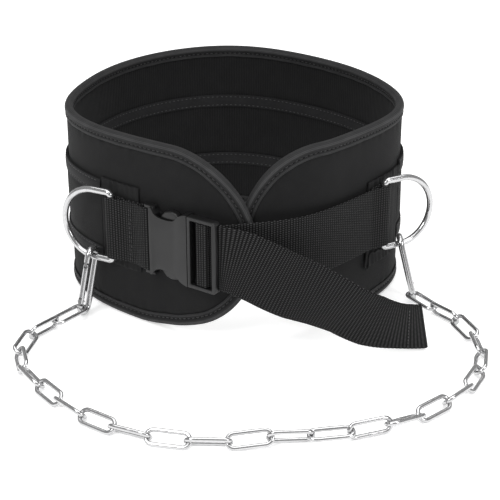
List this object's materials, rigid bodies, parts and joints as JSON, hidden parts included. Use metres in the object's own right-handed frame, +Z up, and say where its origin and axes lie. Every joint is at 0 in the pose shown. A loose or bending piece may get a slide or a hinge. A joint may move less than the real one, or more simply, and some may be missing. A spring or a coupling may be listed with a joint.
{
  "type": "dip belt",
  "caption": "Padded waist belt closed by webbing and a side-release buckle, with a steel chain clipped by snap hooks to a D-ring on each side.",
  "frame": {"origin": "middle of the underside of the whole box, on the surface that the belt stands on", "axes": "+Z up, out of the belt's waist opening; the belt's front, with its buckle, faces -Y; +X to the right of someone who faces the front"},
  "size_m": [0.3494, 0.446, 0.154],
  "materials": {
    "neoprene": "matt knitted face on foam",
    "edge_tape": "ribbed woven tape",
    "sleeve_cloth": "matt woven cloth",
    "webbing": "ribbed woven webbing",
    "buckle_plastic": "satin moulded",
    "plated_steel": "bright plated"
  },
  "bodies": {
    "belt": {"belt_panel": "neoprene", "edge_binding": "edge_tape", "back_sleeve": "sleeve_cloth", "sleeve_strip_upper": "edge_tape", "sleeve_strip_lower": "edge_tape", "inner_tape_upper": "edge_tape", "inner_tape_lower": "edge_tape", "patch_left": "sleeve_cloth", "patch_right": "sleeve_cloth", "strap_left": "webbing", "strap_right": "webbing", "buckle_socket": "buckle_plastic", "buckle_plug": "buckle_plastic", "ring_left": "plated_steel", "ring_right": "plated_steel", "hook_left": "plated_steel", "hook_right": "plated_steel", "link_01": "plated_steel", "link_02": "plated_steel", "link_03": "plated_steel", "link_04": "plated_steel", "link_05": "plated_steel", "link_06": "plated_steel", "link_07": "plated_steel", "link_08": "plated_steel", "link_09": "plated_steel", "link_10": "plated_steel", "link_11": "plated_steel", "link_12": "plated_steel", "link_13": "plated_steel", "link_14": "plated_steel", "link_15": "plated_steel", "link_16": "plated_steel", "link_17": "plated_steel", "link_18": "plated_steel", "link_19": "plated_steel", "link_20": "plated_steel", "link_21": "plated_steel", "link_22": "plated_steel", "link_23": "plated_steel", "link_24": "plated_steel"},
    "gate_left": {"gate_left": "plated_steel"},
    "gate_right": {"gate_right": "plated_steel"}
  },
  "joints": [
    {"name": "gate_left_hinge", "type": "hinge", "parent": "belt", "child": "gate_left", "pos_m": [-0.13147, -0.02719, 0.01451], "axis": [-0.9125, 0.4038, 0.0653], "range_deg": [0, 14], "stiffness_Nm_per_rad": 0.02, "springref_deg": -11.46},
    {"name": "gate_right_hinge", "type": "hinge", "parent": "belt", "child": "gate_right", "pos_m": [0.12991, 0.01205, 0.01139], "axis": [0.9673, -0.0293, 0.2521], "range_deg": [0, 14], "stiffness_Nm_per_rad": 0.02, "springref_deg": -11.46}
  ]
}
